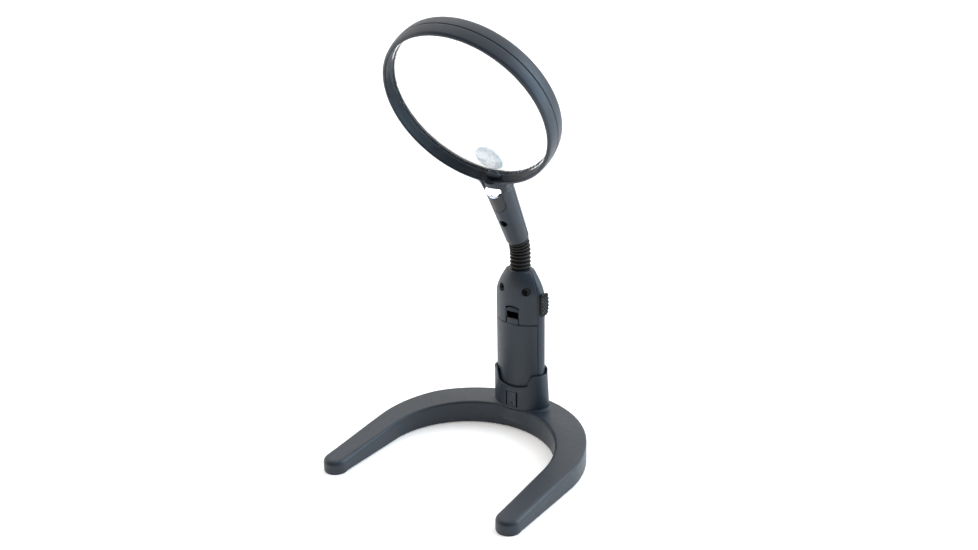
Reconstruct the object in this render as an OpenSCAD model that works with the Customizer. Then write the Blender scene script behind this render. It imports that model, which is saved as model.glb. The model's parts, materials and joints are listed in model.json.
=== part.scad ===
// Lighted stand magnifier: a horseshoe base with a socket, a lift-out battery column,
// a short flexible neck and a round lens head with a lamp in its handle.
// Origin: the column's axis at the surface that the stand rests on.
// +Z up, -Y towards the open front of the horseshoe, +X on the switch's side.

/* [Base] */
// Radius of the horseshoe's outer edge at the back
base_outer_r = 78; // [75:0.5:82]
// Radius of the horseshoe's inner edge at the back
base_inner_r = 60.5; // [58:0.5:62]
// Distance from the column's axis forward to the outer edge's centre
base_setback = 63; // [62:0.5:64]
// How far the inner edge's centre sits in front of the outer edge's centre
inner_shift = 8; // [7:0.5:9]
// Sideways distance from the middle plane to each arm tip's centre
tip_x = 69.3; // [68:0.1:70]
// Distance forward from the outer edge's centre to the arm tips' centres
tip_reach = 60.7; // [56:0.1:66]
// Radius of each rounded arm tip
tip_r = 8.3; // [7.8:0.1:9]
// Height of the base at the back
base_h = 17; // [16:0.5:18]
// Height of the base at the arm tips
tip_h = 10; // [9:0.5:12]
// Distance behind the column's axis where the arms start to slope down, negative is in front
slope_start_y = -17; // [-25:1:-16]
// How far the rubber feet stand below the shell
foot_h = 1.2; // [0.8:0.1:1.6]
// Wall of the base shell
base_wall = 2.2; // [1.8:0.1:2.6]

/* [Column] */
// Half the depth of the battery column, front to back
col_half_d = 11.4; // [11.2:0.1:11.8]
// Radius of the column's rounded sides
col_end_r = 6.2; // [6:0.1:6.4]
// Distance from the axis to the centre of each rounded side
col_end_x = 12.6; // [12.4:0.1:13]
// Height of the column's top above the table
col_top = 119.5; // [118:0.5:121]
// Wall of the column's shells and door
col_wall = 1.6; // [1.4:0.1:1.8]
// Distance of the parting plane in front of the column's axis
part_y = 4.25; // [4:0.05:4.5]
// Height of the seam between the front shell and the battery door
door_top = 81.6; // [80:0.2:83]
// How far the battery door slides down
door_travel = 4; // [2:0.5:4]
// How far the switch slides
switch_travel = 3; // [2:0.5:4]

/* [Socket] */
// Gap between the column and the socket around it
socket_gap = 0.4; // [0.3:0.05:0.5]
// Wall of the socket
socket_wall = 1.6; // [1.4:0.1:1.8]
// Height of the socket's low front edge
socket_low = 33.5; // [32:0.5:35]
// Height of the socket's sides
socket_side = 43.5; // [42:0.5:45]
// Height of the socket's back
socket_back = 46.8; // [45:0.2:48]

/* [Neck] */
// Outer radius of the neck's ribs
rib_r = 7.3; // [6.8:0.05:7.4]
// Distance from one rib to the next along the neck
rib_pitch = 2.8; // [2.6:0.1:3]
// Thickness of one rib
rib_t = 1.45; // [1.3:0.05:1.5]

/* [Head] */
// Forward lean of the head from upright
head_lean = 28; // [24:1:30]
// Distance along the handle from its lower end to the lens centre
lens_z = 114.8; // [112:0.2:118]
// How far the ring's parting plane sits behind the handle's axis
ring_y = 1.5; // [1:0.1:2]
// Outer radius of the lens ring
ring_r = 60.2; // [59:0.1:61]
// Radius of the ring's clear opening
ring_open_r = 57; // [56:0.05:57.2]
// Ring thickness in front of its parting plane
ring_front = 8.5; // [8:0.1:9]
// Ring thickness behind its parting plane
ring_back = 9.75; // [9:0.05:10.5]
// Radius of the main lens at its rim
lens_r = 58; // [57.5:0.1:58.1]
// Radius of the curve of the main lens's faces
lens_curve = 290; // [270:5:340]
// Radius of the small strong lens
spot_r = 9.95; // [8:0.05:10.5]
// Distance from the lens centre down to the small strong lens's centre
spot_drop = 43.2; // [41:0.1:43.5]
// Radius of the handle at its lower end
handle_r0 = 8; // [7.6:0.1:8.2]
// Radius of the handle just below the ring
handle_r1 = 9.6; // [9.4:0.1:9.8]

/* [Hidden] */
$fn = 96;

// Colours
slate = [0.22, 0.26, 0.30];
black = [0.05, 0.05, 0.05];
steel = [0.62, 0.63, 0.65];
brass = [0.78, 0.66, 0.36];
clear = [0.85, 0.92, 0.95, 0.4];
white = [0.95, 0.96, 0.98];
green = [0.10, 0.35, 0.20];
red = [0.65, 0.10, 0.08];

// Horseshoe
arc_c = [0, -base_setback];
inner_c = [0, -base_setback - inner_shift];
tip_c = [tip_x, -base_setback - tip_reach];
plate_t = 1.5;
plate_top = foot_h + plate_t;
plate_gap = 0.2;
boss_r = 3.2;
pilot_r = 1.25;
shank_r = 1.2;
// Places of the screws that hold the base plate, on the right side
boss_back_r = 66;
boss_back_angle = 50;
boss_right = [[tip_x, -118], [69, -63], arc_c + boss_back_r * [cos(boss_back_angle), sin(boss_back_angle)]];
boss_points = concat(boss_right, [for (p = boss_right) [-p.x, p.y]]);

// Socket and release tab
socket_floor = 2.5;
socket_extra = socket_gap + socket_wall;
col_bottom = base_h + socket_floor + 0.5;
slit_x = 3.8;
slit_w = 1;
slit_low = 18.9;
slit_high = 30.4;
ramp_low_x = 11;
ramp_high_x = 14.2;
collar_screw_x = 12.6;

// Column
col_floor = 2;
door_low = col_bottom + col_floor + door_travel + 0.2;
seam = 0.3;
screw_hole_x = 9.7;
screw_hole_z = 106.3;
screw_hole_r = 2.8;
tab_half_w = 5;
tab_top = 86;
recess_top = 91;
switch_z = 96;
switch_len = 16.5;
switch_w = 8.6;
switch_out = 20.8;
battery_r = 5.2;
battery_len = 43.6;
battery_pitch = 11;
battery_low = 30.5;
bay_top = 78;

// Neck: the direction of each rib, from upright, and the joints between the ribs
rib_gap = rib_pitch - rib_t;
rib_lean = [0, 0, 0, 2, 7, 12, 18, 23];
neck_base = col_top + rib_gap / 2;
// Centre of the gap below rib i, counted from 0; the last one is the gap below the head
function gap_point(i) = i == 0 ? [0, 0, neck_base]
    : gap_point(i - 1) + rib_pitch * [0, -sin(rib_lean[i - 1]), cos(rib_lean[i - 1])];
head_point = gap_point(len(rib_lean)) + rib_gap / 2 * [0, -sin(head_lean), cos(head_lean)];
ferrule_r = 5.2;
ferrule_bore_r = 3.4;

// Head
head_wall = 1.8;
handle_top_z = 45;
ring_wall_r = 58.2;
lens_edge = 2.4;
lens_front = 0.5;
lens_cap_r = 56.4;
ring_round_out = 1.4;
ring_round_back = 5;
ring_back_open_r = ring_r - ring_round_back;
fillet_r = 8;
head_screw_z = 20.8;
lamp_tilt = 35;
lamp_z = 49.5;
lamp_y = -6.2;
lamp_r = 5.6;
cover_low = 31.8;
cover_high = 44.5;
cover_half_w = 6;
led_x = 2.7;

// ---------- helpers ----------

// Unit direction from the centres to the touching points of a line on two circles, left of c1 to c2
function tangent_dir(c1, r1, c2, r2) =
    let (d = c2 - c1, l = norm(d), u = d / l, s = (r1 - r2) / l)
    sqrt(1 - s * s) * [-u.y, u.x] + s * u;

function flip(p) = [-p.x, p.y];

// Horseshoe of height h, smaller by inset all round. The arms' straight edges run a hair
// inside the circles that they meet, so that each edge crosses its circle.
module horseshoe(h, inset = 0) {
    hair = 0.01;
    ro = base_outer_r - inset;
    ri = base_inner_r + inset;
    rt = tip_r - inset;
    out = tangent_dir(arc_c, ro, tip_c, rt);
    in = tangent_dir(inner_c, ri, tip_c, -rt);
    outer = [arc_c + (ro - hair) * out, tip_c + (rt - hair) * out];
    inner = [inner_c + (ri - hair) * in, tip_c - (rt - hair) * in];
    front_y = -3 * base_outer_r;
    difference() {
        union() {
            translate(arc_c) cylinder(h, r = ro);
            linear_extrude(h)
                polygon([outer[0], outer[1], inner[1], flip(inner[1]), flip(outer[1]), flip(outer[0])]);
        }
        translate([inner_c.x, inner_c.y, -1]) cylinder(h + 2, r = ri);
        translate([0, 0, -1]) linear_extrude(h + 2)
            polygon([inner[0], inner[1], [inner[1].x, front_y],
                [-inner[1].x, front_y], flip(inner[1]), flip(inner[0])]);
    }
    for (s = [-1, 1]) translate([s * tip_c.x, tip_c.y, 0]) cylinder(h, r = rt);
}

// Extrude a side view, drawn as y across and z up, along X
module side_extrude(w) rotate([90, 0, 90]) linear_extrude(w, center = true) children();

// Extrude a front view, drawn as x across and z up, along Y
module front_extrude(d) rotate([90, 0, 0]) linear_extrude(d, center = true) children();

// The horseshoe's body from low up to its sloping top, less drop
module base_solid(inset, low, drop) {
    back_y = 40;
    front_y = tip_c.y - 20;
    slope = (base_h - tip_h) / (slope_start_y - tip_c.y);
    intersection() {
        horseshoe(base_h + 1, inset);
        side_extrude(400) polygon([[back_y, low], [back_y, base_h - drop],
            [slope_start_y, base_h - drop],
            [front_y, base_h - drop - slope * (slope_start_y - front_y)], [front_y, low]]);
    }
}

// The column's oval, drawn larger by grow all round
module oval_2d(grow = 0) {
    face_r = (col_end_x * col_end_x + col_half_d * col_half_d - col_end_r * col_end_r)
        / (2 * (col_half_d - col_end_r));
    back = face_r - col_half_d;
    reach = (face_r + grow) / (face_r - col_end_r) * col_end_x;
    intersection() {
        translate([0, back]) circle(face_r + grow, $fn = 180);
        translate([0, -back]) circle(face_r + grow, $fn = 180);
        square([2 * reach, 4 * col_half_d], center = true);
    }
    for (s = [-1, 1]) translate([s * col_end_x, 0]) circle(col_end_r + grow);
}

// Outline of the column's shoulders seen from the front, drawn smaller by inset
module shoulder_front_2d(inset = 0) {
    top = col_top - inset;
    half = [[19, 101], [18.5, 105.5], [17, 110], [15.2, 114.5], [13.4, 117.8], [11, 119.5]];
    right = [for (p = half) [p.x - inset, min(p.y, top)]];
    polygon(concat([[19 - inset, 0]], right, [for (i = [len(right) - 1:-1:0]) flip(right[i])],
        [[inset - 19, 0]]));
}

// Outline of the column's shoulders seen from the side, drawn smaller by inset
module shoulder_side_2d(inset = 0) {
    top = col_top - inset;
    half = [[12, 108], [11.2, 112.5], [10, 116.5], [8.6, 119.5]];
    right = [for (p = half) [p.x - inset, min(p.y, top)]];
    polygon(concat([[12 - inset, 0]], right, [for (i = [len(right) - 1:-1:0]) flip(right[i])],
        [[inset - 12, 0]]));
}

// The whole column between two heights, drawn smaller by inset
module column_solid(low, high, inset = 0) {
    intersection() {
        translate([0, 0, low]) linear_extrude(high - low) oval_2d(-inset);
        front_extrude(60) shoulder_front_2d(inset);
        side_extrude(60) shoulder_side_2d(inset);
    }
}

// Half space in front of the column's parting plane, and the one behind it
module front_half() translate([-50, -100 - part_y, -1]) cube([100, 100, 200]);
module rear_half() translate([-50, -part_y, -1]) cube([100, 100, 200]);

// Put a part that is drawn upright on the leaning head
module on_head() translate(head_point) rotate([head_lean, 0, 0]) children();

// Turn something drawn along +Z about the lens centre so that +Z points out of the lens's front
module on_lens() translate([0, ring_y, lens_z]) rotate([90, 0, 0]) children();

// The handle's round, gently widening body, drawn smaller by inset
module handle_solid(low, high, inset = 0) {
    grow = (handle_r1 - handle_r0) / handle_top_z;
    translate([0, 0, low])
        cylinder(high - low, handle_r0 + grow * low - inset, handle_r0 + grow * high - inset);
}

// The webs that blend the handle's sides into the ring, seen from the front
module web_2d() {
    cx = handle_r1 - 0.2 + fillet_r;
    cz = lens_z - sqrt(pow(ring_r + fillet_r, 2) - cx * cx);
    touch = ring_r / (ring_r + fillet_r);
    difference() {
        polygon([[-cx, cz], [cx, cz], [cx * touch, lens_z + (cz - lens_z) * touch],
            [-cx * touch, lens_z + (cz - lens_z) * touch]]);
        for (s = [-1, 1]) translate([s * cx, cz]) circle(fillet_r);
    }
}

// Handle and webs together, up to the ring
module neck_of_head(inset = 0) {
    handle_solid(inset > 0 ? -1 : 0, 57, inset);
    translate([0, 1, 0]) front_extrude(12 - 2 * inset) web_2d();
}

// Half spaces on either side of the head's parting plane
module head_front_half() translate([-100, ring_y - 100, -10]) cube([200, 100, 250]);
module head_rear_half() translate([-100, ring_y, -10]) cube([200, 100, 250]);

// The slanting lamp opening's own axis, pointing out of the handle
module on_lamp() translate([0, lamp_y, lamp_z]) rotate([90 - lamp_tilt, 0, 0]) children();

// Machine screw pointing along +Z, with its head's top at z = 0
module screw(head_r, head_h, r, length) {
    difference() {
        cylinder(head_h, r = head_r);
        translate([0, 0, -1]) cylinder(2, r = head_r * 0.5, $fn = 6);
    }
    translate([0, 0, head_h]) cylinder(length - head_h, r = r);
}

// Skin over a list of rings, each ring a list of points, with both ends closed
module ring_skin(rings) {
    sides = len(rings[0]);
    last = len(rings) - 1;
    walls = [for (i = [0:last - 1], k = [0:sides - 1]) let (n = (k + 1) % sides)
        [sides * i + k, sides * (i + 1) + k, sides * (i + 1) + n, sides * i + n]];
    caps = [[for (k = [0:sides - 1]) k], [for (k = [sides - 1:-1:0]) sides * last + k]];
    polyhedron([for (ring = rings) each ring], concat(walls, caps));
}

// Insulated wire of radius r through a list of points that never run along X
module wire(points, r) {
    sides = 8;
    last = len(points) - 1;
    ring_skin([for (i = [0:last])
        let (step = points[min(i + 1, last)] - points[max(i - 1, 0)], side = cross(step, [1, 0, 0]),
            u = side / norm(side), v = cross(step, u) / norm(step))
        [for (k = [0:sides - 1]) points[i] + r * (cos(360 * k / sides) * u - sin(360 * k / sides) * v)]]);
}

// ---------- base ----------

module base_shell() {
    color(slate) difference() {
        union() {
            difference() {
                base_solid(0, foot_h, 0);
                base_solid(base_wall, foot_h - 1, base_wall);
            }
            intersection() {
                base_solid(base_wall / 2, plate_top, base_wall / 2);
                for (p = boss_points)
                    translate([p.x, p.y, 0]) cylinder(base_h, r = boss_r);
            }
        }
        for (p = boss_points)
            translate([p.x, p.y, plate_top - 1]) cylinder(4.5, r = pilot_r);
        for (s = [-1, 1])
            translate([s * collar_screw_x, 2, base_h - 5]) cylinder(10, r = 1.6);
    }
}

module base_plate() {
    color(slate) difference() {
        translate([0, 0, foot_h]) horseshoe(plate_t, base_wall + plate_gap);
        for (p = boss_points) {
            translate([p.x, p.y, foot_h - 1]) cylinder(4, r = 1.5);
            translate([p.x, p.y, foot_h - 1]) cylinder(1.8, r = 2.7);
        }
    }
}

module ballast_plate() {
    ballast_inset = 3.6;
    ballast_low = plate_top + 0.1;
    ballast_t = 4;
    front_y = tip_c.y + 12;
    color(steel) difference() {
        translate([0, 0, ballast_low]) horseshoe(ballast_t, ballast_inset);
        translate([-100, front_y - 60, 0]) cube([200, 60, 20]);
        for (p = boss_points) translate([p.x, p.y, 0]) cylinder(20, r = boss_r + 0.3);
    }
}

// A rubber foot is a pad under the shell with a hole over the plate's screw
module front_feet() {
    color(black) for (s = [-1, 1]) difference() {
        translate([s * tip_c.x, tip_c.y, 0]) cylinder(foot_h, r = tip_r - 0.4);
        translate([s * tip_c.x, -118, -1]) cylinder(4, r = 2.9);
    }
}

// Curved pads round the back: first angle, turn, inner radius and outer radius of each
module rear_feet() {
    side_in = base_outer_r - 16;
    side_out = base_outer_r - 4;
    back_in = base_outer_r - 21;
    back_out = base_outer_r - 7;
    color(black) translate(arc_c)
        for (f = [[10, 25, side_in, side_out], [80, 20, back_in, back_out], [145, 25, side_in, side_out]])
            rotate([0, 0, f[0]]) rotate_extrude(angle = f[1])
                translate([f[2], 0]) square([f[3] - f[2], foot_h]);
}

module base_screws() {
    color(steel) for (p = boss_points)
        translate([p.x, p.y, foot_h - 0.2]) screw(2.5, 1, shank_r, 5);
}

// ---------- socket ----------

// The socket's rim seen from the front: low in the middle, ramps, then the sides
module rim_front_2d() {
    polygon([[-30, 0], [30, 0], [30, socket_side], [ramp_high_x, socket_side],
        [ramp_low_x + 0.4, socket_low + 2], [ramp_low_x - 2, socket_low], [2 - ramp_low_x, socket_low],
        [-ramp_low_x - 0.4, socket_low + 2], [-ramp_high_x, socket_side], [-30, socket_side]]);
}

// The socket's rim seen from the side: the sides rise to a point and on to the back
module rim_side_2d() {
    polygon([[-30, 0], [30, 0], [30, socket_back], [6, socket_back], [3.5, socket_side + 0.5],
        [0, socket_side], [-30, socket_side]]);
}

module socket_wall_solid() {
    difference() {
        translate([0, 0, base_h]) linear_extrude(socket_back - base_h) oval_2d(socket_extra);
        translate([0, 0, base_h + socket_floor]) linear_extrude(40) oval_2d(socket_gap);
    }
}

module socket_collar() {
    skirt_low = 10;
    color(slate) difference() {
        union() {
            intersection() {
                socket_wall_solid();
                side_extrude(100) rim_side_2d();
                union() {
                    front_extrude(100) rim_front_2d();
                    translate([-50, -2, 0]) cube([100, 60, 100]);
                }
            }
            difference() {
                translate([0, 0, skirt_low]) linear_extrude(base_h - skirt_low) oval_2d(socket_extra);
                translate([inner_c.x, inner_c.y, 0]) difference() {
                    cylinder(base_h, r = 3 * base_inner_r);
                    translate([0, 0, -1]) cylinder(base_h + 2, r = base_inner_r - 0.05, $fn = 180);
                }
            }
        }
        translate([-slit_x - slit_w, -30, slit_low]) cube([2 * (slit_x + slit_w), 20, slit_high - slit_low]);
        for (s = [-1, 1])
            translate([s * collar_screw_x, 2, base_h - 1]) cylinder(2.7, r = 1.45);
    }
}

module collar_screws() {
    color(steel) for (s = [-1, 1])
        translate([s * collar_screw_x, 2, base_h - base_wall - 2]) screw(2.6, 2, 1.4, 5.5);
}

module release_tab() {
    color(slate) intersection() {
        union() {
            difference() {
                linear_extrude(60) oval_2d(socket_extra);
                linear_extrude(60) oval_2d(socket_gap);
            }
            translate([0, -col_half_d - socket_extra, slit_low + 2.6]) sphere(2);
        }
        translate([-slit_x, -30, slit_low + 0.25])
            cube([2 * slit_x, 30 - col_half_d + 1, slit_high - slit_low - 0.5]);
        difference() {
            linear_extrude(60) square(100, center = true);
            linear_extrude(60) oval_2d(socket_gap);
        }
    }
}

// ---------- column ----------

module column_rear_shell() {
    stem_room = 8 + 2 * switch_travel;
    color(slate) difference() {
        union() {
            intersection() {
                difference() {
                    column_solid(col_bottom, col_top);
                    column_solid(col_bottom + col_floor, col_top + 1, col_wall);
                }
                rear_half();
            }
            column_solid(col_bottom, col_bottom + col_floor);
            // Ledge over the battery bay
            intersection() {
                column_solid(bay_top, bay_top + 1.6, col_wall - 0.4);
                rear_half();
            }
            // Bosses that the column's screws bite into
            for (s = [-1, 1]) intersection() {
                translate([s * screw_hole_x, 12, screw_hole_z]) rotate([90, 0, 0]) cylinder(12 + part_y, r = 3);
                column_solid(col_bottom, col_top);
            }
        }
        for (s = [-1, 1])
            translate([s * screw_hole_x, 4, screw_hole_z]) rotate([90, 0, 0]) cylinder(12, r = pilot_r);
        // Opening for the neck's clamp
        translate([0, 0, col_top - 4]) cylinder(6, r = ferrule_r + 0.1);
        // Slot for the switch's stem
        translate([10, -1.7, switch_z - stem_room / 2 - 0.5]) cube([12, 3.4, stem_room + 1]);
        // Holes for the battery wires in the ledge
        translate([0, 3, bay_top - 1]) cylinder(4, r = 1.5);
    }
}

module column_front_shell() {
    color(slate) difference() {
        union() {
            intersection() {
                difference() {
                    column_solid(door_top, col_top);
                    column_solid(door_top - 1, col_top + 1, col_wall);
                }
                front_half();
            }
            for (s = [-1, 1]) intersection() {
                translate([s * screw_hole_x, -part_y, screw_hole_z]) rotate([90, 0, 0]) cylinder(10, r = 4);
                column_solid(door_top, col_top);
            }
        }
        for (s = [-1, 1]) {
            translate([s * screw_hole_x, -part_y - 1.5, screw_hole_z]) rotate([90, 0, 0])
                cylinder(20, r = screw_hole_r);
            translate([s * screw_hole_x, 0, screw_hole_z]) rotate([90, 0, 0]) cylinder(20, r = 1.5);
        }
        translate([0, 0, col_top - 4]) cylinder(6, r = ferrule_r + 0.1);
        // Room for the door's tab and the finger opening above it
        translate([-tab_half_w - 0.3, -30, door_top - 1]) cube([2 * tab_half_w + 0.6, 40, recess_top - door_top + 1]);
        // Shallow recess under an arched edge
        intersection() {
            translate([0, -col_half_d - 11.4, 89]) rotate([90, 0, 0])
                translate([0, 0, -12]) cylinder(12.2, r = 5.6);
            translate([-10, -30, recess_top - 1]) cube([20, 40, 10]);
        }
    }
}

module column_screws() {
    color(steel) for (s = [-1, 1])
        translate([s * screw_hole_x, -part_y - 3.6, screw_hole_z]) rotate([-90, 0, 0]) screw(2.5, 2, shank_r, 9);
}

module battery_door() {
    color(slate) {
        intersection() {
            difference() {
                column_solid(door_low, door_top - seam);
                column_solid(door_low - 1, door_top + 1, col_wall);
            }
            translate([0, -0.1, 0]) front_half();
        }
        // Tab that the front shell's finger opening gives room for
        intersection() {
            difference() {
                column_solid(door_top - 1, tab_top);
                column_solid(door_top - 2, tab_top + 1, col_wall);
            }
            translate([-tab_half_w, -30, 0]) cube([2 * tab_half_w, 30, 100]);
        }
    }
}

// One round cell standing on its flat end
module battery(x) {
    translate([x, 0, battery_low]) {
        cylinder(battery_len, r = battery_r);
        cylinder(battery_len + 0.9, r = 1.9);
    }
}

module battery_left() color(red) battery(-battery_pitch);
module battery_middle() color(red) battery(0);
module battery_right() color(red) battery(battery_pitch);

// Coil of wire that tapers from r0 to r1 over its height
module coil(turns, r0, r1, height, wire_r) {
    steps = 10 * turns;
    sides = 5;
    ring_skin([for (i = [0:steps]) let (t = i / steps, a = 36 * i, r = r0 + (r1 - r0) * t)
        [for (k = [0:sides - 1]) let (b = 360 * k / sides, q = r + wire_r * cos(b))
            [q * cos(a), q * sin(a), height * t + wire_r * sin(b)]]]);
}

module contact_springs() {
    spring_low = col_bottom + col_floor + 2.2;
    color(steel) for (i = [-1:1])
        translate([i * battery_pitch, 0, spring_low]) coil(3, 2.4, 1.6, battery_low - spring_low - 0.5, 0.4);
}

module contact_plates() {
    low = col_bottom + col_floor + 1.2;
    high = battery_low + battery_len + 1.1;
    color(brass) {
        for (i = [-1:1]) translate([i * battery_pitch, 0, low]) {
            translate([-4, -3, 0]) cube([8, 6, 0.5]);
            translate([-4, 3, 0]) cube([8, 0.5, 5]);
        }
        for (i = [-1:1]) translate([i * battery_pitch, 0, high]) {
            translate([-4, -3, 0]) cube([8, 6, 0.5]);
            translate([0, 0, -0.05]) cylinder(1, r = 1.4);
        }
    }
}

module switch_body() {
    color(black) translate([0, 0, switch_z]) {
        translate([9.5, -3.4, -9]) cube([4.5, 6.8, 15]);
        for (z = [-5, 0, 5]) translate([7, -0.5, z - 0.6]) cube([2.5, 1, 1.2]);
    }
}

// Sliding button with a stem that reaches in through the shell
module switch_slider() {
    half_l = switch_len / 2;
    half_w = switch_w / 2;
    ribs = 7;
    rib_step = 1.9;
    skin = 18.95;
    color(black) translate([0, 0, switch_z]) {
        translate([skin, 0, 0]) rotate([0, 90, 0]) linear_extrude(switch_out - skin - 0.5) {
            square([switch_len - 4, switch_w], center = true);
            square([switch_len, switch_w - 4], center = true);
            for (sx = [-1, 1], sy = [-1, 1])
                translate([sx * (half_l - 2), sy * (half_w - 2)]) circle(2);
        }
        for (i = [0:ribs - 1]) {
            z = (i - (ribs - 1) / 2) * rib_step;
            translate([switch_out - 0.5, half_w - 1, z]) rotate([90, 0, 0])
                cylinder(switch_w - 2, r = 0.5, $fn = 24);
        }
        translate([14.2, -1.4, -4]) cube([skin - 14, 2.8, 8]);
    }
}

module column_wires() {
    color(red) wire([[0, 3, bay_top - 1], [0, 3, 86], [5, 3, 92], [7, 1.6, 95.5]], 0.6);
    color(black) wire([[7, -1.6, 97], [3, -1, 104], [1, 0, 110], [1, 0, col_top - 5]], 0.6);
}

module neck_lower_ferrule() {
    color(steel) difference() {
        union() {
            translate([0, 0, col_top - 10]) cylinder(10.2, r = ferrule_r);
            translate([0, 0, col_top - 10]) cylinder(2, r = ferrule_r + 1.2);
        }
        translate([0, 0, col_top - 11]) cylinder(12, r = ferrule_bore_r);
    }
}

// ---------- neck ----------

// One rib of the neck's ribbed sleeve, centred between the gaps below and above it
module rib(i) {
    edge = rib_t / 2;
    color(black) translate(gap_point(i)) rotate([rib_lean[i], 0, 0])
        translate([0, 0, rib_gap / 2]) rotate_extrude() {
            translate([ferrule_bore_r + 0.8, 0]) square([rib_r - edge - ferrule_bore_r - 0.8, rib_t]);
            translate([rib_r - edge, edge]) circle(edge, $fn = 32);
        }
}

module neck_rib_1() rib(0);
module neck_rib_2() rib(1);
module neck_rib_3() rib(2);
module neck_rib_4() rib(3);
module neck_rib_5() rib(4);
module neck_rib_6() rib(5);
module neck_rib_7() rib(6);
module neck_rib_8() rib(7);

module neck_upper_ferrule() {
    color(steel) on_head() difference() {
        union() {
            translate([0, 0, -0.2]) cylinder(10.2, r = ferrule_r);
            translate([0, 0, 8]) cylinder(2, r = ferrule_r + 0.6);
        }
        translate([0, 0, -1]) cylinder(12, r = ferrule_bore_r);
    }
}

// ---------- head ----------

// Ring profile in front of the parting plane: radius across, distance out of the front up
module ring_front_2d() {
    inner_round = ring_r - ring_open_r - ring_round_out;
    seat = lens_front + 0.1;
    translate([ring_open_r, seat]) square([ring_r - ring_open_r, ring_front - inner_round - seat]);
    translate([ring_wall_r, 0]) square([ring_r - ring_wall_r, 2]);
    intersection() {
        translate([ring_open_r + inner_round, ring_front - inner_round]) circle(inner_round);
        translate([0, ring_front - inner_round]) square([ring_open_r + inner_round, inner_round]);
    }
    intersection() {
        translate([ring_r - ring_round_out, ring_front - ring_round_out]) circle(ring_round_out);
        translate([ring_r - ring_round_out, 0]) square([10, 20]);
    }
    translate([ring_r - ring_round_out, 3]) square([ring_round_out, ring_front - ring_round_out - 3]);
}

// Ring profile behind the parting plane
module ring_rear_2d() {
    seat = lens_front - lens_edge - 0.1;
    intersection() {
        difference() {
            translate([ring_back_open_r, -ring_back]) square([ring_round_back, ring_back]);
            translate([0, seat]) square([ring_wall_r, 20]);
        }
        union() {
            translate([ring_back_open_r, -ring_back + ring_round_back]) circle(ring_round_back);
            translate([0, -ring_back + ring_round_back]) square([100, 20]);
        }
    }
}

module head_front_shell() {
    color(slate) on_head() difference() {
        union() {
            on_lens() rotate_extrude($fn = 180) ring_front_2d();
            intersection() {
                difference() {
                    neck_of_head();
                    difference() {
                        handle_solid(-1, lamp_z, head_wall);
                        translate([0, ring_y, head_screw_z]) rotate([90, 0, 0]) cylinder(20, r = 4);
                    }
                }
                head_front_half();
            }
        }
        on_lens() translate([0, 0, -20]) cylinder(60, r = ring_open_r, $fn = 180);
        on_lens() translate([0, 0, -20]) cylinder(20 + lens_front + 0.1, r = ring_wall_r, $fn = 180);
        // Screw recess in the front
        translate([0, -2.5, head_screw_z]) rotate([90, 0, 0]) cylinder(20, r = 2.75);
        translate([0, 5, head_screw_z]) rotate([90, 0, 0]) cylinder(20, r = 1.4);
        // Slanting lamp opening and the pocket for its cover
        on_lamp() translate([0, 0, -4]) cylinder(30, r = lamp_r + 0.15);
        intersection() {
            translate([-cover_half_w - 0.2, -30, cover_low - 0.2])
                cube([2 * cover_half_w + 0.4, 24, cover_high - cover_low + 6]);
            difference() {
                handle_solid(0, 60, -2);
                handle_solid(-1, 61, 1.3);
            }
        }
    }
}

module head_rear_shell() {
    color(slate) on_head() difference() {
        union() {
            on_lens() rotate_extrude($fn = 180) ring_rear_2d();
            intersection() {
                difference() {
                    neck_of_head();
                    handle_solid(-1, lamp_z, head_wall);
                }
                head_rear_half();
            }
            // Boss that the head's screw bites into
            intersection() {
                translate([0, 12, head_screw_z]) rotate([90, 0, 0]) cylinder(12 - ring_y, r = 3.2);
                handle_solid(0, 50, 0.2);
            }
        }
        on_lens() translate([0, 0, -20]) cylinder(60, r = ring_back_open_r, $fn = 180);
        on_lens() translate([0, 0, lens_front - lens_edge - 0.1]) cylinder(60, r = ring_wall_r, $fn = 180);
        translate([0, 6, head_screw_z]) rotate([90, 0, 0]) cylinder(12, r = pilot_r);
    }
}

module main_lens() {
    cap_drop = sqrt(lens_curve * lens_curve - lens_cap_r * lens_cap_r);
    color(clear) on_head() on_lens() difference() {
        union() {
            translate([0, 0, lens_front - lens_edge]) cylinder(lens_edge, r = lens_r, $fn = 180);
            intersection() {
                translate([0, 0, lens_front - lens_edge / 2]) cylinder(60, r = lens_cap_r, $fn = 180);
                translate([0, 0, lens_front - cap_drop]) sphere(lens_curve, $fn = 180);
            }
        }
        translate([0, -spot_drop, -20]) cylinder(40, r = spot_r + 0.05);
    }
}

module spot_lens() {
    spot_curve = 30;
    spot_half = 3.3;
    mid = lens_front - lens_edge / 2;
    color(clear) on_head() on_lens() translate([0, -spot_drop, mid]) intersection() {
        translate([0, 0, -10]) cylinder(20, r = spot_r);
        translate([0, 0, spot_half - spot_curve]) sphere(spot_curve);
        translate([0, 0, spot_curve - spot_half]) sphere(spot_curve);
    }
}

// Half-round clip that holds the lens's lower rim
module lens_clip() {
    clip_r = 5.4;
    color(slate) on_head() on_lens() intersection() {
        translate([0, -ring_open_r - 0.3, 2.6]) cylinder(3, r = clip_r);
        translate([-20, 0.15 - ring_open_r, 0]) cube([40, 20, 20]);
        cylinder(20, r = ring_open_r - 0.15, $fn = 180);
    }
}

// Clear domed window of the lamp
module led_window() {
    dome_curve = 9;
    color(white) on_head() on_lamp() union() {
        translate([0, 0, -1.5]) cylinder(3, r = lamp_r);
        intersection() {
            cylinder(8, r = lamp_r);
            translate([0, 0, 1.5 - sqrt(dome_curve * dome_curve - lamp_r * lamp_r)]) sphere(dome_curve);
        }
    }
}

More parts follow.
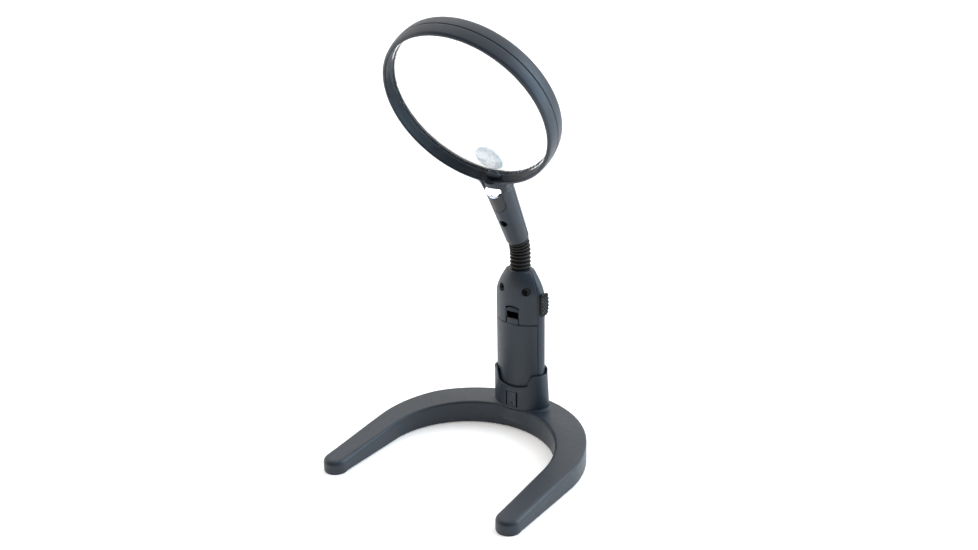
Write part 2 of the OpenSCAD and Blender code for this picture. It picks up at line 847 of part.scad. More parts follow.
module led_cover() {
    color(slate) on_head() difference() {
        intersection() {
            translate([-cover_half_w, -30, cover_low])
                cube([2 * cover_half_w, 24, cover_high - cover_low]);
            difference() {
                handle_solid(0, 60, -0.3);
                handle_solid(-1, 61, 1.2);
            }
        }
        on_lamp() translate([0, 0, -6]) cylinder(30, r = lamp_r + 0.2);
    }
}

// Shallow bowl behind the window
module led_reflector() {
    color(white) on_head() on_lamp() difference() {
        translate([0, 0, -3.8]) cylinder(2.2, r = lamp_r - 0.6);
        translate([0, 0, -3]) cylinder(2, 3.6, 4.6);
        for (s = [-1, 1]) translate([s * led_x, 0, -5]) cylinder(4, r = 1.15);
    }
}

// Two lamp diodes side by side
module leds() {
    color(white) on_head() on_lamp() for (s = [-1, 1]) translate([s * led_x, 0, -5.2]) {
        cylinder(2.2, r = 1.05);
        translate([0, 0, 2.2]) sphere(1.05, $fn = 48);
    }
}

module led_board() {
    color(green) on_head() on_lamp() translate([-4.6, -3, -6.2]) cube([9.2, 6, 1]);
}

module head_screw() {
    color(steel) on_head() translate([0, -4.4, head_screw_z]) rotate([-90, 0, 0])
        screw(2.4, 1.8, shank_r, 9.5);
}

module head_wires() {
    color(red) on_head() for (s = [-1, 1])
        wire([[s * 1.2, 0.5, 1], [s * 1.5, 3, 12], [s * 5, 1, head_screw_z], [s * 4, 0, 36], [s * 3, -1, 43.5]], 0.5);
}

base_shell();
base_plate();
ballast_plate();
front_feet();
rear_feet();
base_screws();
socket_collar();
collar_screws();
release_tab();
column_rear_shell();
column_front_shell();
column_screws();
battery_door();
battery_left();
battery_middle();
battery_right();
contact_springs();
contact_plates();
switch_body();
switch_slider();
column_wires();
neck_lower_ferrule();
neck_rib_1();
neck_rib_2();
neck_rib_3();
neck_rib_4();
neck_rib_5();
neck_rib_6();
neck_rib_7();
neck_rib_8();
neck_upper_ferrule();
head_front_shell();
head_rear_shell();
main_lens();
spot_lens();
lens_clip();
led_window();
led_cover();
led_reflector();
leds();
led_board();
head_screw();
head_wires();
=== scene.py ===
"""Looks of the lighted stand magnifier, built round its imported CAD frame.

Shapes are written as distance functions in millimetres: negative inside, positive outside. A
surface net turns each one into a smooth mesh. The head's pieces are written upright and then
lean with the head. Sizes that the frame knows are read from it.
"""

import json
import math

import bpy
import numpy as np
from mathutils import Matrix, Vector

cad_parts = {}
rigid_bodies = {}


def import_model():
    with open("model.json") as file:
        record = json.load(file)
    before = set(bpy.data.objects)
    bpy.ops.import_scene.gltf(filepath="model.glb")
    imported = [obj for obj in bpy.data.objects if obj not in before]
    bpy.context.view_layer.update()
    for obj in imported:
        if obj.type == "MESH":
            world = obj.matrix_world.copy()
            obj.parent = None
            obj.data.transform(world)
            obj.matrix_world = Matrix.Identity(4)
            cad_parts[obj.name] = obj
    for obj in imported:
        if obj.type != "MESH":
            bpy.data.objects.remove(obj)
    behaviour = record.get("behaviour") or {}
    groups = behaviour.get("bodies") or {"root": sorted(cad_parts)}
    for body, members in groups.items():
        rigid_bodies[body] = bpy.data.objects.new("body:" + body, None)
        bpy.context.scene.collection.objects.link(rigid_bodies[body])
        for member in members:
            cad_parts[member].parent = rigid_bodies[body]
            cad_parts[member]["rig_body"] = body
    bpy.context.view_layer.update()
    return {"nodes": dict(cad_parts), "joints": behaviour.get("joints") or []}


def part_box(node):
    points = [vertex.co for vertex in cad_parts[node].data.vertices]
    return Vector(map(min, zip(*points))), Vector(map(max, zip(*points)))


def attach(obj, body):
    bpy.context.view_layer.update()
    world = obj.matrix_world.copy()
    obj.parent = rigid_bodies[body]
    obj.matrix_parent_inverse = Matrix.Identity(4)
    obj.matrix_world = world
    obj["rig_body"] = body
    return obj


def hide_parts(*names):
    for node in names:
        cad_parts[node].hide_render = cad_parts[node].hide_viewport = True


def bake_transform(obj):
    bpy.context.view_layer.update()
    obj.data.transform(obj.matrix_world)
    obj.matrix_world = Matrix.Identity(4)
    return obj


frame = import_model()

MM = 0.001


def box_mm(node):
    """Lowest and highest corner of a CAD node, in millimetres."""
    return [np.array(corner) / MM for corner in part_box(node)]


# ---------- sizes, in millimetres ----------

base_lo, base_hi = box_mm("base_shell")
plate_hi = box_mm("base_plate")[1]
column_lo, column_hi = box_mm("column_rear_shell")
collar_lo, collar_hi = box_mm("socket_collar")
door_lo, door_hi = box_mm("battery_door")
front_lo, front_hi = box_mm("column_front_shell")
tab_lo, tab_hi = box_mm("release_tab")
slider_lo, slider_hi = box_mm("switch_slider")

# Horseshoe
OUTER_R = base_hi[0]
ARC_C = np.array([0, base_hi[1] - OUTER_R])
INNER_R = 60.5
INNER_C = ARC_C - [0, 8]
TIP_R = 8.3
TIP_C = np.array([69.3, base_lo[1] + TIP_R])
BASE_H = base_hi[2]
TIP_H = 10
SLOPE_START = -17
BASE_WALL = 2.2
BASE_FILLET = 1.4
TIP_FILLET = 3.2
SKIRT_Z = 0.5
SWELLING_LOW = 6.5

# Column
HALF_D = 11.4
END_R = 6.2
END_X = column_hi[0] - END_R
COL_TOP = column_hi[2]
COL_LOW = column_lo[2]
COL_WALL = 1.6
COL_FLOOR = 2
NECK_HOLE_DEPTH = 6
PART_Y = -4.25
SEAM = 0.07
SCREW_X = 9.7
SCREW_Z = 106.3
SCREW_HOLE_R = 2.8
TAB_HALF_W = 5
RECESS_TOP = 90.6
POCKET_HALF_W = 5.5
POCKET_TOP = 94.9
POCKET_DEPTH = 1.3
POCKET_LOW_DEPTH = 0.3
ARCH_BEND = 0.045
DOOR_GAP = 0.3

# Socket
SOCKET_GAP = 0.4
SOCKET_EXTRA = 2.0
SOCKET_FLOOR = 19.5
RIM_LOW = 34.3
RIM_SIDE = 43.5
RIM_BACK = collar_hi[2]
DIP_BEND = 0.012
SLIT_IN = 3.8
SLIT_OUT = 4.8
SLIT_LOW = 18.9
SLIT_HIGH = 30.4

# Switch slider
SLIDER_BEND = 0.012
KNURL_PITCH = 2.6
KNURL_DEPTH = 0.8
SLIDER_CORNER = 2.2
SLIDER_INNER_X = 18.85

# Neck: the hinges stand in the gaps between the ribs
RIB_R = 7.3
RIB_T = 1.45
RIB_PITCH = 2.8
RIB_GAP = RIB_PITCH - RIB_T
RIB_WALL = 1.2
SLEEVE_R = 5.75
SLEEVE_WALL = 0.8
SLEEVE_REACH = 1.5
gap_points = [
    np.array(j["pos_m"]) / MM for j in frame["joints"] if j["name"].startswith("neck_")
]

# Head, before it leans
HEAD_LEAN = math.radians(28)
LENS_Z = 114.8
RING_Y = 1.5
RING_R = 60.4
RING_BULGE_R = 32
OPEN_R = 57.0
BACK_OPEN_R = 57.1
BACK_FLARE = 0.16
RING_FRONT = 8.5
RING_BACK = 9.75
SEAT_R = 58.1
LENS_R = 58.0
LENS_CAP_R = 56.4
LENS_CURVE = 290
LENS_BEVEL = math.radians(8)
LENS_BEVEL_R = 50
LENS_FRONT = 0.5
LENS_BACK = -1.9
SPOT_R = 9.95
SPOT_DROP = 43.2
SPOT_CURVE = 30
SPOT_HALF = 3.3
HANDLE_R = 8.0
HANDLE_GROWTH = 1.6 / 45
HANDLE_WALL = 1.8
HANDLE_TOP = 57
HEAD_SCREW_Z = 20.8
HEAD_SCREW_HOLE_R = 2.75
HEAD_BOSS_R = 4
LAMP_C = np.array([0, -6.2, 49.5])
LAMP_TILT = math.radians(55)
LAMP_R = 5.6
COVER_HALF_W = 5.8
COVER_LOW = 32.4
COVER_CORNER = 5.5
COVER_T = 1.2
HOOD = 1.2
WINDOW_DOME_R = 14.2
WINDOW_BULGE = 2
LAMP_X = 2.2
LAMP_DOWN = 1.1
LAMP_SPOT_R = 2.7
LAMP_EDGE_W = 0.7
LAMP_ZONE_TOP = -1.6
SHADE_DEPTH = 1.6
CLIP_R = 5.4
CLIP_X = 0.8
CLIP_H = (2.3, 4.8)
WEB_FILLET = 8


# ---------- distance functions ----------


def round_and(a, b, r):
    """Where a and b overlap, with the edge between them rounded to radius r."""
    corner = np.hypot(np.maximum(a + r, 0), np.maximum(b + r, 0))
    return np.minimum(np.maximum(a, b) + r, 0) + corner - r


def round_or(a, b, r):
    """a and b joined, with a fillet of radius r between them."""
    return -round_and(-a, -b, r)


def cut(a, b, r=0.0):
    """a without b, with the new edge rounded to radius r."""
    return round_and(a, -b, r) if r else np.maximum(a, -b)


def soft_max(a, b, k):
    """The larger of a and b, with the crease between them softened over k."""
    h = np.clip(0.5 + 0.5 * (a - b) / k, 0, 1)
    return b + (a - b) * h + k * h * (1 - h)


def slab(v, lo, hi):
    """Distance outside the layer from lo to hi."""
    return np.maximum(lo - v, v - hi)


def step(v, lo, hi):
    """0 below lo, 1 above hi, smooth in between."""
    t = np.clip((v - lo) / (hi - lo), 0, 1)
    return t * t * (3 - 2 * t)


def tangent_dir(c1, r1, c2, r2):
    """Unit direction from two circles' centres to where a common tangent touches them."""
    d = c2 - c1
    length = math.hypot(*d)
    u = d / length
    s = (r1 - r2) / length
    return math.sqrt(1 - s * s) * np.array([-u[1], u[0]]) + s * u


def arc_then_line(x, y, centre, radius, n):
    """Distance outside an arc that runs on into its tangent line, which has normal n."""
    px, py = x - centre[0], y - centre[1]
    on_line = px * n[1] - py * n[0] > 0
    return np.where(on_line, px * n[0] + py * n[1], np.hypot(px, py)) - radius


OUT_N = tangent_dir(ARC_C, OUTER_R, TIP_C, TIP_R)
IN_N = tangent_dir(INNER_C, INNER_R, TIP_C, -TIP_R)


def horseshoe(x, y):
    """The base's outline from above."""
    x = np.abs(x)
    band = np.maximum(
        arc_then_line(x, y, ARC_C, OUTER_R, OUT_N),
        -arc_then_line(x, y, INNER_C, INNER_R, IN_N),
    )
    tip = np.hypot(x - TIP_C[0], y - TIP_C[1]) - TIP_R
    return np.where(y < TIP_C[1], tip, band)


def base_shell(x, y, z):
    ahead = SLOPE_START - y
    slope = (BASE_H - TIP_H) / (SLOPE_START - TIP_C[1])
    top = BASE_H - slope * (ahead + np.sqrt(ahead * ahead + 9)) / 2
    fillet = BASE_FILLET + (TIP_FILLET - BASE_FILLET) * step(-y, 60, 125)
    band = horseshoe(x, y)
    solid = round_and(round_and(band, z - top, fillet), SKIRT_Z - z, 0.4)
    # Swelling that carries the socket's front down into the inner wall
    under_socket = oval(x, y) - SOCKET_EXTRA - 0.1
    swelling = round_and(round_and(under_socket, SWELLING_LOW - z, 4.0), z - BASE_H, 0.3)
    solid = round_or(solid, np.maximum(swelling, y - 2), 3.0)
    return cut(solid, np.maximum(band + BASE_WALL, z - plate_hi[2]))


def oval(x, y):
    """The column's cross-section: two wide arcs that run on into two round sides."""
    face_r = (END_X**2 + HALF_D**2 - END_R**2) / (2 * (HALF_D - END_R))
    back = face_r - HALF_D
    x, y = np.abs(x), np.abs(y)
    on_side = x * back > (y + back) * END_X
    face = np.hypot(x, y + back) - face_r
    return np.where(on_side, np.hypot(x - END_X, y) - END_R, face)


def profile(z, points):
    """Half-width at height z along a line of (half-width, height) points, corners softened."""
    widths, heights = np.transpose(points)
    spread = (-1.5, -0.75, 0, 0.75, 1.5)
    return sum(np.interp(z + dz, heights, widths) for dz in spread) / len(spread)


# Half-width and half-depth of the column, up over its shoulders
SHOULDER_X = [
    (END_X + END_R, 98), (18.5, 103.5), (16.9, 108), (14.6, 112.5), (11.9, 117), (9.4, 120.5)
]
SHOULDER_Y = [(HALF_D, 102), (11.1, 108), (10.3, 113), (9.2, 117), (8.2, 120.5)]


def column(x, y, z):
    """The column's oval, drawn in over its shoulders towards the neck."""
    shrink_x = profile(z, SHOULDER_X) / (END_X + END_R)
    shrink_y = profile(z, SHOULDER_Y) / HALF_D
    d = oval(x / shrink_x, y / shrink_y) * np.minimum(shrink_x, shrink_y)
    return round_and(round_and(d, z - COL_TOP, 1.4), COL_LOW - z, 0.4)


def part_y(z):
    """The parting plane between the column's halves. It runs back over the shoulders."""
    return PART_Y * (profile(z, SHOULDER_Y) / HALF_D) ** 3


def column_skin(x, y, z):
    """The column's wall, hollow above its floor, with the hole for the neck."""
    d = column(x, y, z)
    inside = np.maximum(d + COL_WALL, COL_LOW + COL_FLOOR - z)
    neck_hole = np.maximum(np.hypot(x, y) - SLEEVE_R, COL_TOP - NECK_HOLE_DEPTH - z)
    return cut(cut(d, inside), neck_hole, 0.4)


def screw_hole(x, z):
    return np.hypot(np.abs(x) - SCREW_X, z - SCREW_Z) - SCREW_HOLE_R


def column_rear(x, y, z):
    return round_and(column_skin(x, y, z), part_y(z) + SEAM - y, 0.25)


def tab_notch(x, z, room):
    """Where the door's tab stands, with room all round."""
    return np.maximum(np.abs(x) - TAB_HALF_W - room, z - door_hi[2] - room)


def column_front(x, y, z):
    """The front shell: an arched finger pocket over a slot, and two screw holes."""
    arch = POCKET_TOP - ARCH_BEND * x * x
    pocket = np.maximum(slab(x, -POCKET_HALF_W, POCKET_HALF_W), z - arch)
    rise = np.clip((z - RECESS_TOP) / (POCKET_TOP - RECESS_TOP), 0, 1)
    depth = POCKET_LOW_DEPTH + (POCKET_DEPTH - POCKET_LOW_DEPTH) * rise
    pocket = np.maximum(pocket, -(column(x, y, z) + depth))
    slit = np.maximum(np.abs(z - arch + 0.6) - 0.55, np.abs(x) - POCKET_HALF_W)
    finger_hole = np.maximum(np.abs(x) - TAB_HALF_W + 0.2, slab(z, door_hi[2] - 1, RECESS_TOP))
    finger_hole = np.minimum(finger_hole, tab_notch(x, z, 0.35))
    finger_hole = np.minimum(finger_hole, slit)
    d = round_and(column_skin(x, y, z), y - part_y(z) + SEAM, 0.25)
    d = round_and(d, front_lo[2] + 0.05 - z, 0.2)
    d = cut(d, pocket, 0.12)
    d = cut(d, finger_hole, 0.12)
    return cut(d, screw_hole(x, z), 0.2)


def battery_door(x, y, z):
    skin = column(x, y, z)
    main = round_and(skin, z - front_lo[2] + DOOR_GAP, 0.2)
    tab = round_and(skin + 0.35, tab_notch(x, z, -0.3), 0.3)
    d = round_and(np.minimum(main, tab), y - PART_Y + SEAM, 0.25)
    return np.maximum(cut(d, skin + COL_WALL), door_lo[2] - z)


def rim_height(x, y):
    """Height of the socket's rim: a dip in front, steep ramps, sides, and points at the back."""
    ramp = step(np.abs(x), 11.0, 14.7)
    dip = RIM_LOW + DIP_BEND * x * x
    front = dip + (RIM_SIDE - dip) * ramp
    front = np.where(y < 0, front, RIM_SIDE)
    return front + (RIM_BACK - RIM_SIDE) * step(y, 0.8, 4.6)


def socket_outer(x, y, z):
    taper = 0.05 * np.maximum(RIM_SIDE - z, 0) * step(y, -5, 4)
    return oval(x, y) - SOCKET_EXTRA - taper


def socket_collar(x, y, z):
    reach = 0.05
    slope_x = (rim_height(x + reach, y) - rim_height(x - reach, y)) / (2 * reach)
    slope_y = (rim_height(x, y + reach) - rim_height(x, y - reach)) / (2 * reach)
    above_rim = (z - rim_height(x, y)) / np.sqrt(1 + slope_x**2 + slope_y**2)
    bore = np.maximum(oval(x, y) - SOCKET_GAP, SOCKET_FLOOR - z)
    d = round_and(socket_outer(x, y, z), above_rim, 0.6)
    d = cut(round_and(d, BASE_H + 0.05 - z, 0.3), bore, 0.35)
    window = np.maximum(slab(x, -SLIT_OUT, SLIT_OUT), slab(z, SLIT_LOW, SLIT_HIGH))
    return cut(d, np.maximum(window, y), 0.12)


def release_tab(x, y, z):
    lump = np.hypot(np.hypot(x, y + HALF_D + 1.9), z - SLIT_LOW - 2.2) - 1.3
    d = round_or(socket_outer(x, y, z), lump, 0.8)
    d = np.maximum(d, SOCKET_GAP - oval(x, y))
    d = np.maximum(d, slab(z, SLIT_LOW + 0.02, SLIT_HIGH - 0.02))
    return round_and(d, np.maximum(np.abs(x) - SLIT_IN, y), 0.15)


def switch_slider(x, y, z):
    """The switch's button, crowned and knurled both ways."""
    mid_z = (slider_lo[2] + slider_hi[2]) / 2
    half_l, half_w = (slider_hi[2] - slider_lo[2]) / 2, (slider_hi[1] - slider_lo[1]) / 2
    w = z - mid_z
    outline = round_and(np.abs(y) - half_w, np.abs(w) - half_l, SLIDER_CORNER)
    crown = slider_hi[0] - SLIDER_BEND * w * w
    saw = [np.abs((w + s * y) / KNURL_PITCH % 1 - 0.5) * 2 for s in (-1, 1)]
    knurl = step(np.minimum(*saw), 0.15, 0.6)
    top = x - crown + KNURL_DEPTH * (1 - knurl) * step(-outline, -0.2, 0.3)
    return np.maximum(round_and(outline, top, 0.5), SLIDER_INNER_X - x)


def ring_polar(x, y, z):
    """Distance from the lens's axis, and height out of the front of its parting plane."""
    return np.hypot(x, z - LENS_Z), RING_Y - y


def ring_outside(q, h):
    """Distance outside the ring's barrel-shaped outer face, widest at its parting line."""
    return np.hypot(q - RING_R + RING_BULGE_R, h) - RING_BULGE_R


def handle(x, y, z):
    return np.hypot(x, y) - HANDLE_R - HANDLE_GROWTH * z


def handle_body(x, y, z):
    return np.maximum(round_and(handle(x, y, z), -z, 0.9), z - HANDLE_TOP)


def above_lamp(y, z):
    """Height above the lamp window's slanting plane."""
    return -(y - LAMP_C[1]) * math.sin(LAMP_TILT) + (z - LAMP_C[2]) * math.cos(LAMP_TILT)


def up_lamp(y, z):
    """Distance up the lamp window's slanting plane from its middle."""
    return (y - LAMP_C[1]) * math.cos(LAMP_TILT) + (z - LAMP_C[2]) * math.sin(LAMP_TILT)


def lamp_axis(x, y, z):
    """Distance from the lamp window's axis."""
    return np.hypot(x, up_lamp(y, z))


def web(x, y, z):
    """Fillets between the handle's sides and the ring, seen from the front."""
    cx = HANDLE_R + 1.4 + WEB_FILLET
    cz = LENS_Z - math.sqrt((RING_R + WEB_FILLET) ** 2 - cx * cx)
    x = np.abs(x)
    d = np.maximum(WEB_FILLET - np.hypot(x - cx, z - cz), np.maximum(x - cx, cz - z))
    d = np.maximum(d, z - LENS_Z + 52)
    return round_and(d, np.abs(y - 1) - 6.5, 2.2)


def hollow_handle(x, y, z):
    return np.maximum(handle(x, y, z) + HANDLE_WALL, slab(z, 2, 50))


def head_front(x, y, z):
    q, h = ring_polar(x, y, z)
    ring = np.maximum(
        round_and(ring_outside(q, h), h - RING_FRONT, 1.8),
        round_and(OPEN_R - q, h - RING_FRONT, 1.0),
    )
    slant = round_and(0.4 - above_lamp(y, z), up_lamp(y, z) - HOOD, 0.4)
    grip = cut(handle_body(x, y, z), slant, 0.5)
    grip = round_or(grip, web(x, y, z), 2.0)
    d = round_or(ring, grip, 1.2)
    boss = np.hypot(x, z - HEAD_SCREW_Z) - HEAD_BOSS_R
    d = cut(d, np.maximum(hollow_handle(x, y, z), -boss))
    d = cut(d, np.maximum(np.hypot(x, z - HEAD_SCREW_Z) - HEAD_SCREW_HOLE_R, y + 2.5), 0.25)
    opening = round_and(lamp_axis(x, y, z) - LAMP_R - 0.15, up_lamp(y, z) - HOOD, 1.5)
    d = cut(d, np.maximum(opening, -4 - above_lamp(y, z)), 0.2)
    d = cut(d, np.maximum(cover_outline(x, z, 0.16), -(handle(x, y, z) + 1.3)), 0.12)
    d = cut(d, np.maximum(q - SEAT_R, h - LENS_FRONT - 0.05))
    d = np.maximum(d, OPEN_R - q)
    return round_and(d, y - RING_Y + SEAM, 0.35)


def head_rear(x, y, z):
    q, h = ring_polar(x, y, z)
    ring = np.maximum(
        round_and(ring_outside(q, h), -h - RING_BACK, 2.4),
        BACK_OPEN_R - BACK_FLARE * np.minimum(h + 2, 0) - q,
    )
    grip = round_or(handle_body(x, y, z), web(x, y, z), 2.0)
    d = round_or(ring, grip, 1.2)
    d = cut(d, hollow_handle(x, y, z))
    d = cut(d, np.maximum(q - SEAT_R, LENS_BACK - 0.05 - h))
    d = np.maximum(d, BACK_OPEN_R - q)
    return round_and(d, RING_Y + SEAM - y, 0.3)


def cover_outline(x, z, grow=0.0):
    """The lamp cover's outline seen from the front: straight sides and a round lower end."""
    low = COVER_LOW - grow
    half = COVER_HALF_W + grow
    px = np.maximum(np.abs(x) - half + COVER_CORNER, 0)
    pz = np.maximum(low + COVER_CORNER - z, 0)
    return np.hypot(px, pz) - COVER_CORNER


def lamp_cover(x, y, z):
    skin = handle(x, y, z)
    d = round_and(skin, cover_outline(x, z), 0.3)
    d = np.maximum(np.maximum(d, -COVER_T - skin), y + 1)
    d = round_and(d, above_lamp(y, z) + 0.1, 0.3)
    return cut(d, lamp_axis(x, y, z) - LAMP_R - 0.2, 0.15)


def lamp_window(x, y, z):
    q, _ = ring_polar(x, y, z)
    axis = lamp_axis(x, y, z)
    up = above_lamp(y, z)
    dome = np.hypot(axis, up + WINDOW_DOME_R - WINDOW_BULGE) - WINDOW_DOME_R
    d = round_and(axis - LAMP_R, np.maximum(dome, -1.5 - up), 0.4)
    return np.maximum(d, RING_R + 0.2 - q)


def main_lens(x, y, z):
    """The big lens. The small one is cemented into it, so the joint between them doesn't show."""
    q, h = ring_polar(x, y, z)
    drop = math.sqrt(LENS_CURVE**2 - LENS_CAP_R**2)
    front = np.hypot(q, h - LENS_FRONT + drop) - LENS_CURVE
    bevel = (q - LENS_BEVEL_R) * math.sin(LENS_BEVEL) - (h - LENS_BACK) * math.cos(LENS_BEVEL)
    back = soft_max(LENS_BACK - h, bevel, 0.15)
    dome = np.maximum(np.maximum(front, back), q - LENS_CAP_R)
    rim = round_and(q - LENS_R, slab(h, LENS_BACK, LENS_FRONT), 0.3)
    return np.minimum(dome, np.maximum(rim, LENS_CAP_R - 0.5 - q))


def spot_lens(x, y, z):
    h = RING_Y - y - (LENS_FRONT + LENS_BACK) / 2
    q = np.hypot(x, z - LENS_Z + SPOT_DROP)
    front = np.hypot(q, h - SPOT_HALF + SPOT_CURVE) - SPOT_CURVE
    back = np.hypot(q, h + SPOT_HALF - SPOT_CURVE) - SPOT_CURVE
    return round_and(np.maximum(front, back), q - SPOT_R, 0.2)


def lens_clip(x, y, z):
    q, h = ring_polar(x, y, z)
    d = np.hypot(x - CLIP_X, z - LENS_Z + OPEN_R + 0.3) - CLIP_R
    d = round_and(d, slab(h, *CLIP_H), 0.7)
    return np.maximum(d, q - OPEN_R + 0.15)


# ---------- meshes ----------


def surface_net(f, lo, hi, cell):
    """Points and quads of the surface where f is zero, inside the box from lo to hi."""
    axes = [np.arange(a - cell, b + 2 * cell, cell) for a, b in zip(lo, hi, strict=True)]
    grid = np.meshgrid(*axes, indexing="ij")
    value = f(*grid)
    inside = value < 0
    shape = tuple(n - 1 for n in value.shape)
    total, count = np.zeros((*shape, 3)), np.zeros(shape)

    def corner(a, offset):
        return a[tuple(slice(o, o + n) for o, n in zip(offset, shape, strict=True))]

    offsets = [(i, j, k) for i in (0, 1) for j in (0, 1) for k in (0, 1)]
    for axis in range(3):
        for start in (o for o in offsets if o[axis] == 0):
            end = tuple(1 if n == axis else o for n, o in enumerate(start))
            v0, v1 = corner(value, start), corner(value, end)
            crosses = corner(inside, start) != corner(inside, end)
            share = np.where(crosses, v0 / np.where(crosses, v0 - v1, 1), 0)
            for n in range(3):
                along = share if n == axis else start[n]
                total[..., n] += np.where(crosses, along, 0)
            count += crosses
    used = count > 0
    index = np.full(shape, -1)
    index[used] = np.arange(used.sum())
    cells = np.argwhere(used)
    low_corner = np.array([a[0] for a in axes])
    points = low_corner + (cells + total[used] / count[used][:, None]) * cell

    quads = []
    for axis in range(3):
        u, v = [n for n in range(3) if n != axis]
        length = value.shape[axis] - 1
        first = np.take(inside, range(length), axis)
        second = np.take(inside, range(1, length + 1), axis)
        inner = [slice(1, -1)] * 3
        inner[axis] = slice(None)
        where = np.argwhere((first != second)[tuple(inner)])
        where[:, u] += 1
        where[:, v] += 1
        turn = first[tuple(where.T)]
        around = []
        for du, dv in ((1, 1), (0, 1), (0, 0), (1, 0)):
            at = where.copy()
            at[:, u] -= du
            at[:, v] -= dv
            around.append(index[tuple(at.T)])
        quad = np.stack(around, axis=1)
        backwards = turn if axis == 1 else ~turn
        quad[backwards] = quad[backwards][:, ::-1]
        quads.append(quad)
    return points, np.concatenate(quads)


def settle(f, points, cell):
    """Moves points onto the surface of f along its gradient."""
    reach = 0.02
    for _ in range(3):
        value = f(*points.T)
        gradient = np.empty_like(points)
        for n in range(3):
            ahead, behind = points.copy(), points.copy()
            ahead[:, n] += reach
            behind[:, n] -= reach
            gradient[:, n] = (f(*ahead.T) - f(*behind.T)) / (2 * reach)
        size = np.maximum((gradient**2).sum(1), 0.2)
        move = -(value / size)[:, None] * gradient
        length = np.maximum(np.linalg.norm(move, axis=1), 1e-9)
        points = points + move * np.minimum(1, 0.5 * cell / length)[:, None]
    return points


def mesh_object(name, points, faces, place=None):
    """An object from points in millimetres, put in place by a matrix in metres."""
    mesh = bpy.data.meshes.new(name)
    mesh.from_pydata((np.asarray(points) * MM).tolist(), [], [list(map(int, f)) for f in faces])
    if place is not None:
        mesh.transform(place)
    mesh.polygons.foreach_set("use_smooth", [True] * len(mesh.polygons))
    mesh.update()
    obj = bpy.data.objects.new(name, mesh)
    bpy.context.scene.collection.objects.link(obj)
    return obj


def solid(name, f, lo, hi, cell, place=None):
    points, quads = surface_net(f, lo, hi, cell)
    return mesh_object(name, settle(f, points, cell), quads, place)


def lathe(name, profile, place, steps=72):
    """Turns a closed profile of (radius, height) points about its own Z axis."""
    angles = [2 * math.pi * i / steps for i in range(steps)]
    points = [(r * math.cos(a), r * math.sin(a), h) for a in angles for r, h in profile]
    n = len(profile)
    faces = [
        (i * n + k, (i + 1) % steps * n + k, (i + 1) % steps * n + (k + 1) % n, i * n + (k + 1) % n)
        for i in range(steps)
        for k in range(n)
    ]
    return mesh_object(name, points, faces, place)


# ---------- materials ----------


def new_material(name):
    material = bpy.data.materials.new(name)
    material.use_nodes = True
    tree = material.node_tree
    shader = tree.nodes["Principled BSDF"]
    place = tree.nodes.new("ShaderNodeTexCoord")
    return material, tree, shader, place.outputs["Object"]


def noise(tree, place, size_mm, detail=3.0):
    node = tree.nodes.new("ShaderNodeTexNoise")
    node.inputs["Scale"].default_value = 1 / (size_mm * MM)
    node.inputs["Detail"].default_value = detail
    tree.links.new(place, node.inputs["Vector"])
    return node.outputs["Fac"]


def ramp(tree, value, low, high):
    """Turns a value from 0 to 1 into a colour or number between low and high."""
    node = tree.nodes.new("ShaderNodeMapRange")
    node.inputs["From Min"].default_value = 0.3
    node.inputs["From Max"].default_value = 0.7
    node.inputs["To Min"].default_value = low
    node.inputs["To Max"].default_value = high
    tree.links.new(value, node.inputs["Value"])
    return node.outputs["Result"]


def mix_colour(tree, value, low, high):
    node = tree.nodes.new("ShaderNodeMix")
    node.data_type = "RGBA"
    node.inputs["A"].default_value = (*low, 1)
    node.inputs["B"].default_value = (*high, 1)
    tree.links.new(value, node.inputs["Factor"])
    return node.outputs["Result"]


def bump(tree, shader, height, distance_mm, strength):
    node = tree.nodes.new("ShaderNodeBump")
    node.inputs["Distance"].default_value = distance_mm * MM
    node.inputs["Strength"].default_value = strength
    tree.links.new(height, node.inputs["Height"])
    tree.links.new(node.outputs["Normal"], shader.inputs["Normal"])


def moulded(name, dark, light, rough=(0.38, 0.46), grain_mm=0.35, strength=0.25, specular=0.5):
    """Moulded plastic or rubber: a fine spark-eroded grain, and slow changes in tone and gloss."""
    material, tree, shader, place = new_material(name)
    slow = noise(tree, place, 14, 4)
    tree.links.new(mix_colour(tree, slow, dark, light), shader.inputs["Base Color"])
    tree.links.new(ramp(tree, noise(tree, place, 3, 5), *rough), shader.inputs["Roughness"])
    bump(tree, shader, noise(tree, place, grain_mm, 2), 0.05, strength)
    shader.inputs["Specular IOR Level"].default_value = specular
    return material


def metal(name, dark, light, rough=(0.22, 0.38)):
    material, tree, shader, place = new_material(name)
    fine = noise(tree, place, 0.6, 5)
    tree.links.new(mix_colour(tree, fine, dark, light), shader.inputs["Base Color"])
    tree.links.new(ramp(tree, fine, *rough), shader.inputs["Roughness"])
    shader.inputs["Metallic"].default_value = 1
    bump(tree, shader, noise(tree, place, 0.2, 2), 0.02, 0.2)
    return material


